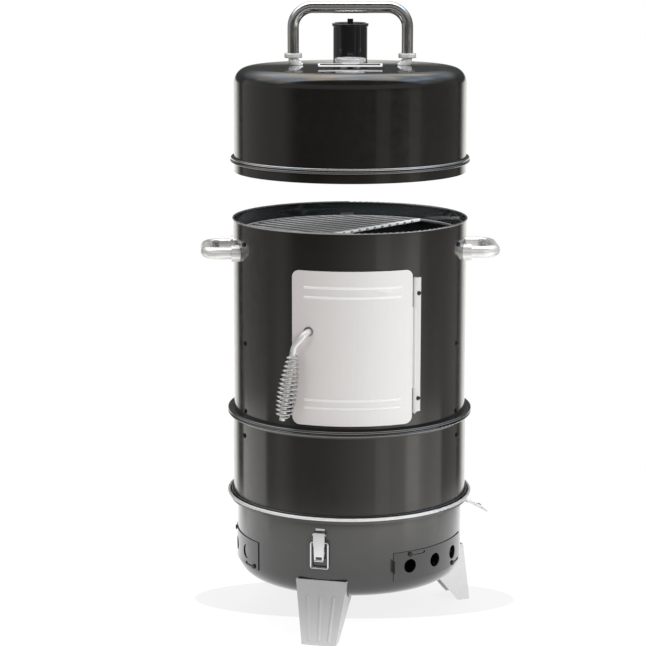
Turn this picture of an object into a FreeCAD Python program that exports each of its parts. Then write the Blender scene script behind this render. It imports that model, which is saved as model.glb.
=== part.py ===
import FreeCAD, Part
import math
import os

# Vertical water smoker: a charcoal bowl on three sheet legs, two stacked
# chamber sections, a water pan, two cooking grates and a lid.
# Millimetres.  The origin is on the floor under the middle of the bowl, +Z is
# up and -Y is the front, where the door is.  An azimuth is measured in degrees
# from the front and grows towards +X.

os.makedirs("parts", exist_ok=True)
V = FreeCAD.Vector

# ---- driving dimensions -------------------------------------------------
SHEET = 1.5                 # thickness of the enamelled walls
GAP = 0.3                   # air between pieces that move apart

UPPER_RADIUS = 202.0        # outside of the upper section
LOWER_RADIUS = 204.0        # outside of the lower section
RIM_HEIGHT = 704.0          # rim of the upper section, above the floor
MID_HEIGHT = 366.0          # where the two sections meet
SKIRT_BOTTOM = 326.0        # the upper section reaches down inside the lower one
MID_BEAD_RADIUS = 213.5

BOWL_RADIUS = 197.5
BOWL_BOTTOM = 74.0
BOWL_CORNER = 33.0
BOWL_LEDGE = 213.0          # ledge that carries the lower section
BOWL_RIM_RADIUS = 215.0
BOWL_RIM_HEIGHT = 219.4     # middle of the rolled rim
BOWL_ROLL = 2.8

LID_RADIUS = 199.8
LID_LIFT = 96.0             # the lid is held this far above its seat
LID_SKIRT = 16.0
LID_WALL = 134.2            # from the lower bead to the shoulder
LID_SHOULDER = 28.0
LID_RISE = 3.5              # crown of the lid above its shoulder
LID_FLAT = 20.0             # radius of the flat middle of the crown
LID_BEAD_RADIUS = 206.5

SECTION_TURN = 1.45         # azimuth of the middle of the door
COLUMN_AZIMUTHS = (-62.5, 65.5, 181.5)
UPPER_BOLT_HEIGHT = 668.0
LOWER_BOLT_HEIGHT = 497.0
STRAP_BOLT_HEIGHTS = (379.0, 336.0)
GRATE_ABOVE_BOLT = 9.2      # middle of the grate wire above its bracket's bolt
BRACKET_WIDTH_DEG = 7.0
BOLT_RADIUS = 2.0

DOOR_BOTTOM = 379.0
DOOR_TOP = 640.0
DOOR_HALF_DEG = 29.1
DOOR_INNER_RADIUS = 204.4
DOOR_SHEET = 1.5
DOOR_CORNER = 12.0
DOOR_RIB_HEIGHTS = (612.1, 595.9, 422.1, 408.5)
DOOR_RIB_HALF_DEG = 23.1
OPENING_MARGIN = 12.0       # the door laps over the opening by this much
OPENING_HALF_DEG = 25.5
HINGE_DEG = 30.3            # hinge axis, from the middle of the door
HINGE_RADIUS = 206.7
KNUCKLE_RADIUS = 3.2
HINGE_PIN_RADIUS = 1.6
HINGE_FIT = 0.06
LEAF_BOTTOM = 397.0
LEAF_TOP = 625.0
DOOR_KNUCKLE = (438.0, 577.0)

LATCH_ROD_DEG = -20.7       # spindle of the door latch, from the door's middle
LATCH_ROD_HEIGHT = 538.0
LATCH_ROD_RADIUS = 5.0
LATCH_ROD_BEND = 14.0
LATCH_STANDOFF = 222.0      # how far out the latch handle hangs
COIL_TURNS = 15
COIL_LENGTH = 116.0
COIL_LEAN_DEG = 9.6

HANDLE_AZIMUTHS = {"left": -86.0, "right": 92.0}
HANDLE_HEIGHT = 649.0
HANDLE_TUBE = 10.5
HANDLE_HALF_SPAN = 53.0
HANDLE_REACH = 248.0
HANDLE_COLLAR_FACE = 206.0

LID_HANDLE_HALF_SPAN = 97.3
LID_HANDLE_TUBE = 10.0
LID_HANDLE_BEND = 34.0
LID_FOOT_SPAN = 90.0
LID_BAR_HEIGHT = 262.0      # middle of the bar above the lid's seat
LID_COLLAR_HEIGHT = 180.4

STACK_SET_BACK = 58.0
STACK_RADIUS = 30.0
STACK_HEIGHT = 232.0        # top of the smoke stack above the lid's seat
STACK_HOLE_RADIUS = 8.0
STACK_HOLE_CIRCLE = 16.0

GAUGE_FORWARD = 35.0
GAUGE_RADIUS = 26.0

LEG_AZIMUTHS = {"leg_front": -13.5, "leg_right": 109.5, "leg_left": -143.0}
LEG_TOP = 109.0
LEG_TOP_DISTANCE = 201.0
LEG_FOOT_DISTANCE = 221.0
LEG_TOP_HALF_WIDTH = 44.5
LEG_FOOT_HALF_WIDTH = 29.5
LEG_SHEET = 2.0

DAMPER_NAMES = ("damper_right", "damper_left", "damper_rear")
DAMPER_FIRST_HOLE = 31.5    # azimuth of the first vent hole of the right damper
DAMPER_PITCH = 16.4
DAMPER_HOLE_RADIUS = 12.0
DAMPER_HOLE_HEIGHT = 127.5
DAMPER_TRAVEL_DEG = 8.5
DAMPER_CLOSED = {"damper_left"}
DAMPER_BOTTOM = 103.0
DAMPER_TOP = 153.0
DAMPER_SHEET = 1.2

LATCH_NAMES = ("front", "right", "left")
LATCH_AZIMUTHS = {"front": -14.3, "right": 105.7, "left": -134.3}
LATCH_OPEN_DEG = {"front": 0.0, "right": 60.0, "left": 0.0}
LATCH_PIN_HEIGHT = 190.0
LATCH_PIN_DISTANCE = 203.5
LATCH_BAIL_DROP = 14.0      # bail pivot below the lever's pin
LATCH_BAIL_LENGTH = 45.0

PAN_RIM_RADIUS = 194.0
PAN_DEPTH = 96.0
CHARCOAL_GRATE_HEIGHT = 165.0
GRATE_TURN = 50.0           # direction of the grates' middle bars, from +X


# ---- helpers ------------------------------------------------------------
def polar(radius, azimuth, height):
    angle = math.radians(azimuth)
    return V(radius * math.sin(angle), -radius * math.cos(angle), height)


def turned(shape, azimuth):
    """A copy of a shape built at the front, carried round to an azimuth."""
    copy = shape.copy()
    copy.rotate(V(0, 0, 0), V(0, 0, 1), azimuth)
    return copy


def mirrored(shape):
    return shape.mirror(V(0, 0, 0), V(1, 0, 0))


def outline(start, *steps):
    """A closed wire in the XZ plane: each step is a point or an arc (middle, end)."""
    edges = []
    here = V(start[0], 0, start[1])
    for step in steps:
        if isinstance(step[0], tuple):
            middle = V(step[0][0], 0, step[0][1])
            end = V(step[1][0], 0, step[1][1])
            edges.append(Part.Arc(here, middle, end).toShape())
        else:
            end = V(step[0], 0, step[1])
            edges.append(Part.LineSegment(here, end).toShape())
        here = end
    first = V(start[0], 0, start[1])
    if here.distanceToPoint(first) > 1e-6:
        edges.append(Part.LineSegment(here, first).toShape())
    return Part.Wire(edges)


def revolved(start, *steps):
    face = Part.Face(outline(start, *steps))
    return face.revolve(V(0, 0, 0), V(0, 0, 1), 360)


def rod(radius, start, end):
    direction = end - start
    return Part.makeCylinder(radius, direction.Length, start, direction)


def radial_rod(radius, azimuth, height, inner, outer):
    return rod(radius, polar(inner, azimuth, height), polar(outer, azimuth, height))


def tube_shell(inner, outer, bottom, top):
    outside = Part.makeCylinder(outer, top - bottom, V(0, 0, bottom))
    return outside.cut(Part.makeCylinder(inner, top - bottom, V(0, 0, bottom)))


def shell_piece(inner, outer, bottom, top, start_deg, end_deg):
    """A piece of a round wall between two azimuths."""
    face = Part.Face(outline((inner, bottom), (outer, bottom), (outer, top), (inner, top)))
    piece = face.revolve(V(0, 0, 0), V(0, 0, 1), end_deg - start_deg)
    piece.rotate(V(0, 0, 0), V(0, 0, 1), start_deg - 90)
    return piece


def hexagon(across_flats, start, end):
    """A hexagonal prism about the line from start to end."""
    corner = across_flats / math.sqrt(3)
    points = [V(corner * math.cos(math.radians(60 * k)), corner * math.sin(math.radians(60 * k)), 0)
              for k in range(7)]
    prism = Part.Face(Part.makePolygon(points)).extrude(V(0, 0, (end - start).Length))
    prism.Placement = FreeCAD.Placement(start, FreeCAD.Rotation(V(0, 0, 1), end - start))
    return prism


def rounded_path(points, bend):
    """Straight runs through the points, joined by tangent arcs of one radius."""
    edges = []
    here = points[0]
    for before, corner, after in zip(points, points[1:], points[2:]):
        into = (corner - before).normalize()
        out = (after - corner).normalize()
        half = into.getAngle(out) / 2
        reach = bend * math.tan(half)
        first = corner - into * reach
        last = corner + out * reach
        inward = (out - into).normalize()
        middle = corner + inward * (bend / math.cos(half) - bend)
        if here.distanceToPoint(first) > 1e-6:
            edges.append(Part.LineSegment(here, first).toShape())
        edges.append(Part.Arc(first, middle, last).toShape())
        here = last
    edges.append(Part.LineSegment(here, points[-1]).toShape())
    return Part.Wire(edges)


def swept(path, radius):
    edge = path.OrderedEdges[0]
    start = edge.valueAt(edge.FirstParameter)
    direction = edge.tangentAt(edge.FirstParameter)
    circle = Part.Wire(Part.makeCircle(radius, start, direction))
    return path.makePipeShell([circle], True, True)


def bent_wire(points, radius, bend):
    return swept(rounded_path(points, bend), radius)


def bent_tube(points, radius, wall, bend):
    path = rounded_path(points, bend)
    return swept(path, radius).cut(swept(path, radius - wall))


def bead(wall_radius, outer_radius, height, half):
    """A pinched bead round a wall, with a rounded edge."""
    straight = outer_radius - half
    return revolved((wall_radius, height - half), (straight, height - half),
                    ((outer_radius, height), (straight, height + half)),
                    (wall_radius, height + half))


def join(first, *rest):
    return first.fuse(list(rest)).removeSplitter()


def save(name, *solids):
    shape = solids[0] if len(solids) == 1 else Part.makeCompound(list(solids))
    for solid in shape.Solids:
        if not solid.isValid() or solid.Volume <= 0:
            raise ValueError(name + ": a solid is not sound")
    shape.exportStep("parts/" + name + ".step")
    print(name, len(shape.Solids), round(shape.Volume))


# ---- fasteners ----------------------------------------------------------
def pan_screw(start, end, radius, head_radius, head_height):
    """A screw from its tip to the underside of its head, and the head beyond."""
    direction = (end - start).normalize()
    head = rod(head_radius, end, end + direction * head_height)
    crown = [edge for edge in head.Edges
             if edge.Closed and abs((edge.CenterOfMass - end).dot(direction) - head_height) < 1e-6]
    head = head.makeFillet(head_height * 0.45, crown)
    return join(head, rod(radius, start, end))


def nut(across_flats, start, end, bore):
    return hexagon(across_flats, start, end).cut(rod(bore, start, end))


# ---- charcoal bowl and legs ----------------------------------------------
def vent_azimuths(index):
    first = DAMPER_FIRST_HOLE - 120.0 * index
    return [first + DAMPER_PITCH * k for k in range(3)]


def leg_bolt_places():
    """Where the legs' tabs are bolted to the bottom of the bowl."""
    across = 27.0
    inward = 152.0
    for azimuth in LEG_AZIMUTHS.values():
        for side in (-across, across):
            yield turned(Part.Vertex(V(side, -inward, 0)), azimuth).Point


def base_bowl():
    wall = BOWL_RADIUS
    corner = wall - BOWL_CORNER
    middle = BOWL_BOTTOM + BOWL_CORNER
    diagonal = math.sqrt(0.5)
    outer_mid = (corner + BOWL_CORNER * diagonal, middle - BOWL_CORNER * diagonal)
    inner_mid = (corner + (BOWL_CORNER - SHEET) * diagonal,
                 middle - (BOWL_CORNER - SHEET) * diagonal)
    lip = BOWL_RIM_RADIUS - 2 * BOWL_ROLL
    sheet = revolved((0, BOWL_BOTTOM), (corner, BOWL_BOTTOM), (outer_mid, (wall, middle)),
                     (wall, BOWL_LEDGE - SHEET), (lip + SHEET, BOWL_LEDGE - SHEET),
                     (lip + SHEET, BOWL_RIM_HEIGHT), (lip, BOWL_RIM_HEIGHT), (lip, BOWL_LEDGE),
                     (wall - SHEET, BOWL_LEDGE), (wall - SHEET, middle),
                     (inner_mid, (corner, BOWL_BOTTOM + SHEET)), (0, BOWL_BOTTOM + SHEET))
    roll = Part.makeTorus(BOWL_RIM_RADIUS - BOWL_ROLL, BOWL_ROLL, V(0, 0, BOWL_RIM_HEIGHT))
    bowl = join(sheet, roll)
    holes = []
    for index in range(3):
        for azimuth in vent_azimuths(index):
            holes.append(radial_rod(DAMPER_HOLE_RADIUS, azimuth, DAMPER_HOLE_HEIGHT,
                                    wall - 20, wall + 20))
        for azimuth, height in damper_screw_places(index):
            holes.append(radial_rod(2.0, azimuth, height, wall - 20, wall + 20))
    for place in leg_bolt_places():
        holes.append(rod(3.0, V(place.x, place.y, BOWL_BOTTOM - 5),
                         V(place.x, place.y, BOWL_BOTTOM + 10)))
    for name in LATCH_NAMES:
        for azimuth, height in latch_rivet_places(name):
            holes.append(radial_rod(1.6, azimuth, height, wall - 10, wall + 10))
    return bowl.cut(holes)


def leg():
    """One leg at the front: a tapered face, two side flanges and two bolted tabs."""
    def half_width(height):
        share = height / LEG_TOP
        return LEG_FOOT_HALF_WIDTH + (LEG_TOP_HALF_WIDTH - LEG_FOOT_HALF_WIDTH) * share

    def face_distance(height):
        return LEG_FOOT_DISTANCE + (LEG_TOP_DISTANCE - LEG_FOOT_DISTANCE) * height / LEG_TOP

    def on_face(across, height, inward=0.0):
        return V(across, inward - face_distance(height), height)

    def plate(points, thickness):
        return Part.Face(Part.makePolygon(points + points[:1])).extrude(thickness)

    face = plate([on_face(-half_width(0), 0), on_face(half_width(0), 0),
                  on_face(half_width(LEG_TOP), LEG_TOP), on_face(-half_width(LEG_TOP), LEG_TOP)],
                 V(0, LEG_SHEET, 0))
    foot_depth = 23.0
    top_depth = 72.0
    flange = [on_face(half_width(0), 0), on_face(half_width(0), 0, foot_depth)]
    seat = BOWL_BOTTOM - 0.02
    flange.append(on_face(half_width(seat), seat, top_depth))
    bend = BOWL_CORNER + 1.6
    start = math.degrees(math.acos((BOWL_CORNER + 0.02) / bend))
    for degrees in (start, 30, 42, 54, 66, 78, 90):
        height = BOWL_BOTTOM + BOWL_CORNER - bend * math.cos(math.radians(degrees))
        reach = BOWL_RADIUS - BOWL_CORNER + bend * math.sin(math.radians(degrees))
        across = half_width(height)
        flange.append(V(across, -math.sqrt(reach ** 2 - across ** 2), height))
    across = half_width(LEG_TOP)
    flange.append(V(across, -math.sqrt((BOWL_RADIUS + 1.6) ** 2 - across ** 2), LEG_TOP))
    flange.append(on_face(across, LEG_TOP))
    side = plate(flange, V(-LEG_SHEET, 0, 0))
    edge = half_width(seat)
    tab = Part.makeBox(28.0, 26.0, LEG_SHEET, V(edge - 28.0, -165.0, seat - LEG_SHEET))
    tab = tab.cut(rod(3.0, V(27.0, -152.0, seat - 5), V(27.0, -152.0, seat + 5)))
    pieces = [side, tab, mirrored(side), mirrored(tab)]
    for share in (-0.56, 0.0, 0.56):
        low = on_face(share * half_width(8), 8, 1.8)
        high = on_face(share * half_width(82), 82, 1.8)
        pieces.append(rod(3.4, low, high))
    return join(face, *pieces)


def leg_bolts():
    bolts = []
    for place in leg_bolt_places():
        top = BOWL_BOTTOM - LEG_SHEET - 0.02
        bolt = join(hexagon(8.0, V(place.x, place.y, top - 3.5), V(place.x, place.y, top)),
                    rod(2.5, V(place.x, place.y, top - 0.5), V(place.x, place.y, top + 12)))
        bolts.append(bolt)
    return bolts


def leg_nuts():
    bottom = BOWL_BOTTOM + SHEET
    return [nut(8.0, V(place.x, place.y, bottom), V(place.x, place.y, bottom + 4), 2.55)
            for place in leg_bolt_places()]


# ---- air dampers on the bowl ---------------------------------------------
def damper_screw_places(index):
    holes = vent_azimuths(index)
    return [(holes[0], 148.0), (holes[2], 108.0)]


def damper(index):
    """A curved sliding plate, drawn open, with three vent holes and two slots."""
    inner = BOWL_RADIUS + 0.4
    outer = inner + DAMPER_SHEET
    holes = vent_azimuths(index)
    left = holes[0] - 9.1
    right = holes[2] + 12.1
    plate = shell_piece(inner, outer, DAMPER_BOTTOM, DAMPER_TOP, left, right)
    tab = shell_piece(inner, outer + 9.0, 119.0, 140.0, left - 0.4, left)
    plate = join(plate, tab)
    slot_half = 2.4
    cuts = [radial_rod(DAMPER_HOLE_RADIUS, azimuth, DAMPER_HOLE_HEIGHT, inner - 5, outer + 5)
            for azimuth in holes]
    for azimuth, height in damper_screw_places(index):
        end = azimuth + DAMPER_TRAVEL_DEG
        cuts.append(shell_piece(inner - 2, outer + 2, height - slot_half, height + slot_half,
                                azimuth, end))
        cuts.append(radial_rod(slot_half, azimuth, height, inner - 5, outer + 5))
        cuts.append(radial_rod(slot_half, end, height, inner - 5, outer + 5))
    plate = plate.cut(cuts)
    if DAMPER_NAMES[index] in DAMPER_CLOSED:
        plate = turned(plate, -DAMPER_TRAVEL_DEG)
    return plate


def damper_screws():
    screws = []
    head_seat = BOWL_RADIUS + 0.4 + DAMPER_SHEET + GAP
    for index in range(3):
        for azimuth, height in damper_screw_places(index):
            screws.append(pan_screw(polar(BOWL_RADIUS - 6, azimuth, height),
                                    polar(head_seat, azimuth, height), 1.95, 4.2, 2.2))
    return screws


# ---- toggle latches on the bowl --------------------------------------------
def latch_rivet_places(name):
    return [(LATCH_AZIMUTHS[name], 158.0), (LATCH_AZIMUTHS[name], 176.0)]


def latch_plate(name):
    """A curved base plate with two ears that hold the lever's pin."""
    half_deg = 2.3
    plate = shell_piece(BOWL_RADIUS, BOWL_RADIUS + 1.2, 150.0, 199.0, -half_deg, half_deg)
    ear_end = 2.2
    ear = Part.makeBox(1.2, LATCH_PIN_DISTANCE - BOWL_RADIUS, ear_end + 8.0,
                       V(6.0, -LATCH_PIN_DISTANCE, LATCH_PIN_HEIGHT - 8.0))
    boss = rod(ear_end, V(6.0, -LATCH_PIN_DISTANCE, LATCH_PIN_HEIGHT),
               V(7.2, -LATCH_PIN_DISTANCE, LATCH_PIN_HEIGHT))
    ear = join(ear, boss)
    shape = join(plate, ear, mirrored(ear))
    pin_hole = rod(1.5, V(-20, -LATCH_PIN_DISTANCE, LATCH_PIN_HEIGHT),
                   V(20, -LATCH_PIN_DISTANCE, LATCH_PIN_HEIGHT))
    shape = shape.cut(pin_hole)
    for _, height in latch_rivet_places(name):
        shape = shape.cut(radial_rod(1.6, 0, height, BOWL_RADIUS - 5, BOWL_RADIUS + 5))
    return turned(shape, LATCH_AZIMUTHS[name])


def latch_pin(name):
    y = -LATCH_PIN_DISTANCE
    pin = rod(1.5, V(-11.0, y, LATCH_PIN_HEIGHT), V(11.0, y, LATCH_PIN_HEIGHT))
    cap = rod(2.4, V(11.0, y, LATCH_PIN_HEIGHT), V(12.0, y, LATCH_PIN_HEIGHT))
    return turned(join(pin, cap, mirrored(cap)), LATCH_AZIMUTHS[name])


def latch_rivets():
    rivets = []
    for name in LATCH_NAMES:
        for azimuth, height in latch_rivet_places(name):
            rivets.append(pan_screw(polar(BOWL_RADIUS - 4, azimuth, height),
                                    polar(BOWL_RADIUS + 1.2, azimuth, height), 1.6, 2.8, 1.0))
    return rivets


def swung(shape, name):
    """A lever's or bail's copy, swung out about the lever's pin and carried round."""
    copy = shape.copy()
    copy.rotate(V(0, -LATCH_PIN_DISTANCE, LATCH_PIN_HEIGHT), V(1, 0, 0), -LATCH_OPEN_DEG[name])
    return turned(copy, LATCH_AZIMUTHS[name])


def latch_lever(name):
    """A tapered lever with a finger window and two cheeks on the pin."""
    front = -LATCH_PIN_DISTANCE - 3.6
    sheet = 1.2
    top = LATCH_PIN_HEIGHT + 3.0
    bottom = 144.0
    outer = Part.makePolygon([V(-10.0, front, top), V(10.0, front, top), V(8.2, front, bottom),
                              V(-8.2, front, bottom), V(-10.0, front, top)])
    face = Part.Face(outer).extrude(V(0, sheet, 0))
    window = Part.makeBox(11.0, 4.0, 5.0, V(-5.5, front - 1, bottom + 2.5))
    lip = Part.makeBox(16.4, 3.2, sheet, V(-8.2, front - 2.0, bottom))
    cheek = Part.makeBox(sheet, 6.4, top - 170.0, V(8.8, front, 170.0))
    lever = join(face, lip, cheek, mirrored(cheek)).cut(window)
    y = -LATCH_PIN_DISTANCE
    lever = lever.cut(rod(1.56, V(-20, y, LATCH_PIN_HEIGHT), V(20, y, LATCH_PIN_HEIGHT)))
    bail_height = LATCH_PIN_HEIGHT - LATCH_BAIL_DROP
    lever = lever.cut(rod(1.36, V(-20, y, bail_height), V(20, y, bail_height)))
    return swung(lever, name)


def latch_bail(name):
    """A wire loop whose bent ends turn in the lever's cheeks."""
    y = -LATCH_PIN_DISTANCE
    top = LATCH_PIN_HEIGHT - LATCH_BAIL_DROP
    bottom = top - LATCH_BAIL_LENGTH
    side = 15.0
    loop = bent_wire([V(-8.2, y, top), V(-side, y, top), V(-side, y, bottom), V(side, y, bottom),
                      V(side, y, top), V(8.2, y, top)], 1.3, 2.6)
    return swung(loop, name)


# ---- chamber sections --------------------------------------------------
def column_bolt_places():
    for azimuth in COLUMN_AZIMUTHS:
        for height in (UPPER_BOLT_HEIGHT, LOWER_BOLT_HEIGHT) + STRAP_BOLT_HEIGHTS:
            yield azimuth, height


def bolt_seat(height):
    """Outside radius of the wall that a column bolt's head rests on."""
    return LOWER_RADIUS if height < MID_HEIGHT - 10 else UPPER_RADIUS


def lower_body():
    outer = LOWER_RADIUS
    inner = LOWER_RADIUS - SHEET
    bottom = BOWL_LEDGE + GAP
    roll = 2.4
    roll_radius = MID_BEAD_RADIUS - roll
    shell = revolved((inner, bottom), (outer, bottom), (outer, 356.5),
                     (roll_radius - 1.0, 361.6), (roll_radius - 1.0, 364.0), (inner, 359.0))
    foot_bead = bead(inner + 0.5, outer + 3.2, bottom + 8.5, 1.9)
    top_roll = Part.makeTorus(roll_radius, roll, V(0, 0, MID_HEIGHT - roll - 0.2))
    body = join(shell, foot_bead, top_roll)
    holes = [radial_rod(BOLT_RADIUS + 0.05, azimuth, STRAP_BOLT_HEIGHTS[1], 190, 220)
             for azimuth in COLUMN_AZIMUTHS]
    return body.cut(holes)


def door_opening():
    """A rounded block through the wall behind the door."""
    half = (UPPER_RADIUS) * math.sin(math.radians(OPENING_HALF_DEG))
    bottom = DOOR_BOTTOM + OPENING_MARGIN
    top = DOOR_TOP - OPENING_MARGIN
    block = Part.makeBox(2 * half, 140.0, top - bottom, V(-half, -300.0, bottom))
    corners = [edge for edge in block.Edges
               if abs(edge.tangentAt(edge.FirstParameter).y) > 0.99]
    return turned(block.makeFillet(DOOR_CORNER, corners), SECTION_TURN)


def upper_body():
    inner = UPPER_RADIUS - SHEET
    rim_roll = 1.6
    wall = tube_shell(inner, UPPER_RADIUS, SKIRT_BOTTOM, RIM_HEIGHT - rim_roll)
    mid_bead = bead(inner + 0.5, MID_BEAD_RADIUS, MID_HEIGHT + 2.6, 2.4)
    rim = Part.makeTorus(UPPER_RADIUS + 0.3, rim_roll, V(0, 0, RIM_HEIGHT - rim_roll))
    body = join(wall, mid_bead, rim)
    cuts = [door_opening()]
    for azimuth, height in column_bolt_places():
        cuts.append(radial_rod(BOLT_RADIUS + 0.05, azimuth, height, 190, 206))
    for azimuth, height in hinge_screw_places():
        cuts.append(radial_rod(1.7, azimuth, height, 190, 215))
    for place in side_handle_axes():
        cuts.append(rod(3.05, place[0], place[1]))
    return body.cut(cuts)


def grate_brackets():
    """Angle brackets inside the wall: three for each cooking grate."""
    outer = UPPER_RADIUS - SHEET
    inner = outer - 2.0
    half = BRACKET_WIDTH_DEG / 2
    brackets = []
    for height in (UPPER_BOLT_HEIGHT, LOWER_BOLT_HEIGHT):
        ledge = height + GRATE_ABOVE_BOLT - 2.5 - GAP
        for azimuth in COLUMN_AZIMUTHS:
            back = shell_piece(inner, outer, height - 12.0, ledge, azimuth - half, azimuth + half)
            tongue = shell_piece(183.0, outer, ledge - 2.0, ledge, azimuth - half, azimuth + half)
            hole = radial_rod(BOLT_RADIUS + 0.05, azimuth, height, 190, 206)
            brackets.append(join(back, tongue).cut(hole))
    return brackets


def section_straps():
    """Straps that bolt the two sections together and carry the water pan."""
    outer = UPPER_RADIUS - SHEET
    inner = outer - 2.0
    half = BRACKET_WIDTH_DEG / 2
    top = 388.0
    straps = []
    for azimuth in COLUMN_AZIMUTHS:
        strip = shell_piece(inner, outer, SKIRT_BOTTOM, top, azimuth - half, azimuth + half)
        tongue = shell_piece(184.0, outer, top - 2.0, top, azimuth - half, azimuth + half)
        holes = [radial_rod(BOLT_RADIUS + 0.05, azimuth, height, 190, 206)
                 for height in STRAP_BOLT_HEIGHTS]
        straps.append(join(strip, tongue).cut(holes))
    return straps


def body_bolts():
    bolts = []
    for azimuth, height in column_bolt_places():
        seat = bolt_seat(height)
        bolts.append(pan_screw(polar(193.0, azimuth, height), polar(seat, azimuth, height),
                               BOLT_RADIUS, 4.2, 2.8))
    return bolts


def body_nuts():
    return [nut(7.0, polar(195.0, azimuth, height), polar(198.4, azimuth, height),
                BOLT_RADIUS + 0.05)
            for azimuth, height in column_bolt_places()]


# ---- door ----------------------------------------------------------------
def hinge_screw_places():
    return [(SECTION_TURN + 33.0, 598.5), (SECTION_TURN + 33.0, 419.5)]


def hinge_axis(height):
    return polar(HINGE_RADIUS, SECTION_TURN + HINGE_DEG, height)


def knuckle(bottom, top):
    return rod(KNUCKLE_RADIUS, hinge_axis(bottom), hinge_axis(top))


def hinge_bore(radius):
    return rod(radius, hinge_axis(LEAF_BOTTOM - 20), hinge_axis(LEAF_TOP + 20))


def hinge_leaf():
    start = SECTION_TURN + HINGE_DEG
    end = SECTION_TURN + 34.3
    leaf_outer = UPPER_RADIUS + 1.2
    leaf = shell_piece(UPPER_RADIUS, leaf_outer, LEAF_BOTTOM, LEAF_TOP, start, end)
    pieces = []
    for bottom, top in ((LEAF_BOTTOM, DOOR_KNUCKLE[0]), (DOOR_KNUCKLE[1], LEAF_TOP)):
        pieces.append(knuckle(bottom, top))
        pieces.append(shell_piece(leaf_outer, HINGE_RADIUS, bottom, top, start + 0.3, start + 0.9))
    shape = join(leaf, *pieces).cut(hinge_bore(HINGE_PIN_RADIUS))
    holes = [radial_rod(1.7, azimuth, height, 200, 215) for azimuth, height in hinge_screw_places()]
    return shape.cut(holes)


def hinge_pin():
    head = rod(2.8, hinge_axis(LEAF_TOP), hinge_axis(LEAF_TOP + 1.6))
    return join(rod(HINGE_PIN_RADIUS, hinge_axis(LEAF_BOTTOM - 2), hinge_axis(LEAF_TOP)), head)


def hinge_screws():
    return [pan_screw(polar(197.0, azimuth, height), polar(UPPER_RADIUS + 1.2, azimuth, height),
                      1.65, 3.6, 2.0)
            for azimuth, height in hinge_screw_places()]


def rounded_panel(inner, outer, bottom, top, half, corner):
    """A rounded rectangle seen from the front, taken out of a round wall."""
    block = Part.makeBox(2 * half, 160.0, top - bottom, V(-half, -260.0, bottom))
    corners = [edge for edge in block.Edges
               if abs(edge.tangentAt(edge.FirstParameter).y) > 0.99]
    block = block.makeFillet(corner, corners)
    return tube_shell(inner, outer, bottom - 1, top + 1).common(block)


def door_ribs():
    """Two pairs of narrow pressed ridges across the panel."""
    outer = DOOR_INNER_RADIUS + DOOR_SHEET
    ribs = []
    for height in DOOR_RIB_HEIGHTS:
        section = outline((outer - 0.4, height - 2.2), (outer, height - 2.2),
                          (outer + 1.0, height - 0.8), (outer + 1.0, height + 0.8),
                          (outer, height + 2.2), (outer - 0.4, height + 2.2))
        rib = Part.Face(section).revolve(V(0, 0, 0), V(0, 0, 1), 2 * DOOR_RIB_HALF_DEG)
        rib.rotate(V(0, 0, 0), V(0, 0, 1), -DOOR_RIB_HALF_DEG - 90)
        ribs.append(rib)
    return ribs


def door():
    inner = DOOR_INNER_RADIUS
    outer = inner + DOOR_SHEET
    half = outer * math.sin(math.radians(DOOR_HALF_DEG))
    panel = rounded_panel(inner, outer, DOOR_BOTTOM, DOOR_TOP, half, DOOR_CORNER)
    web = shell_piece(inner, outer, DOOR_KNUCKLE[0] + GAP, DOOR_KNUCKLE[1] - GAP,
                      DOOR_HALF_DEG - 0.6, HINGE_DEG)
    shape = turned(join(panel, web, *door_ribs()), SECTION_TURN)
    barrel = knuckle(DOOR_KNUCKLE[0] + GAP, DOOR_KNUCKLE[1] - GAP)
    shape = join(shape, barrel).cut(hinge_bore(HINGE_PIN_RADIUS + HINGE_FIT))
    return shape.cut(latch_spindle(LATCH_ROD_RADIUS + 0.08, 190.0, 215.0))


def at_latch(shape):
    """Carry a shape drawn at the front to the latch spindle."""
    return turned(shape, SECTION_TURN + LATCH_ROD_DEG)


def latch_spindle(radius, inner, outer):
    azimuth = SECTION_TURN + LATCH_ROD_DEG
    return radial_rod(radius, azimuth, LATCH_ROD_HEIGHT, inner, outer)


def latch_washer():
    start = DOOR_INNER_RADIUS + DOOR_SHEET + 0.05
    ring = latch_spindle(8.2, start, start + 1.4)
    return ring.cut(latch_spindle(LATCH_ROD_RADIUS + 0.08, start - 1, start + 3))


def coil_axis():
    """Top and bottom of the coil grip, in the latch's own front view."""
    lean = math.radians(COIL_LEAN_DEG)
    top = V(-21.6, -LATCH_STANDOFF, LATCH_ROD_HEIGHT - 33.0)
    bottom = top + V(-math.sin(lean), 0, -math.cos(lean)) * COIL_LENGTH
    return top, bottom


def door_latch_rod():
    """A rod through the door, bent down and to the left to carry the grip."""
    top, bottom = coil_axis()
    down = (bottom - top).normalize()
    elbow = V(0, -LATCH_STANDOFF, LATCH_ROD_HEIGHT)
    knee = top - down * 8.0
    between = elbow + (knee - elbow) * 0.7
    spindle = bent_wire([V(0, -195.2, LATCH_ROD_HEIGHT), elbow, between],
                        LATCH_ROD_RADIUS, LATCH_ROD_BEND)
    core = bent_wire([between, knee, bottom + down * 3.0], LATCH_ROD_RADIUS, LATCH_ROD_BEND)
    return at_latch(join(spindle, core))


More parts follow.
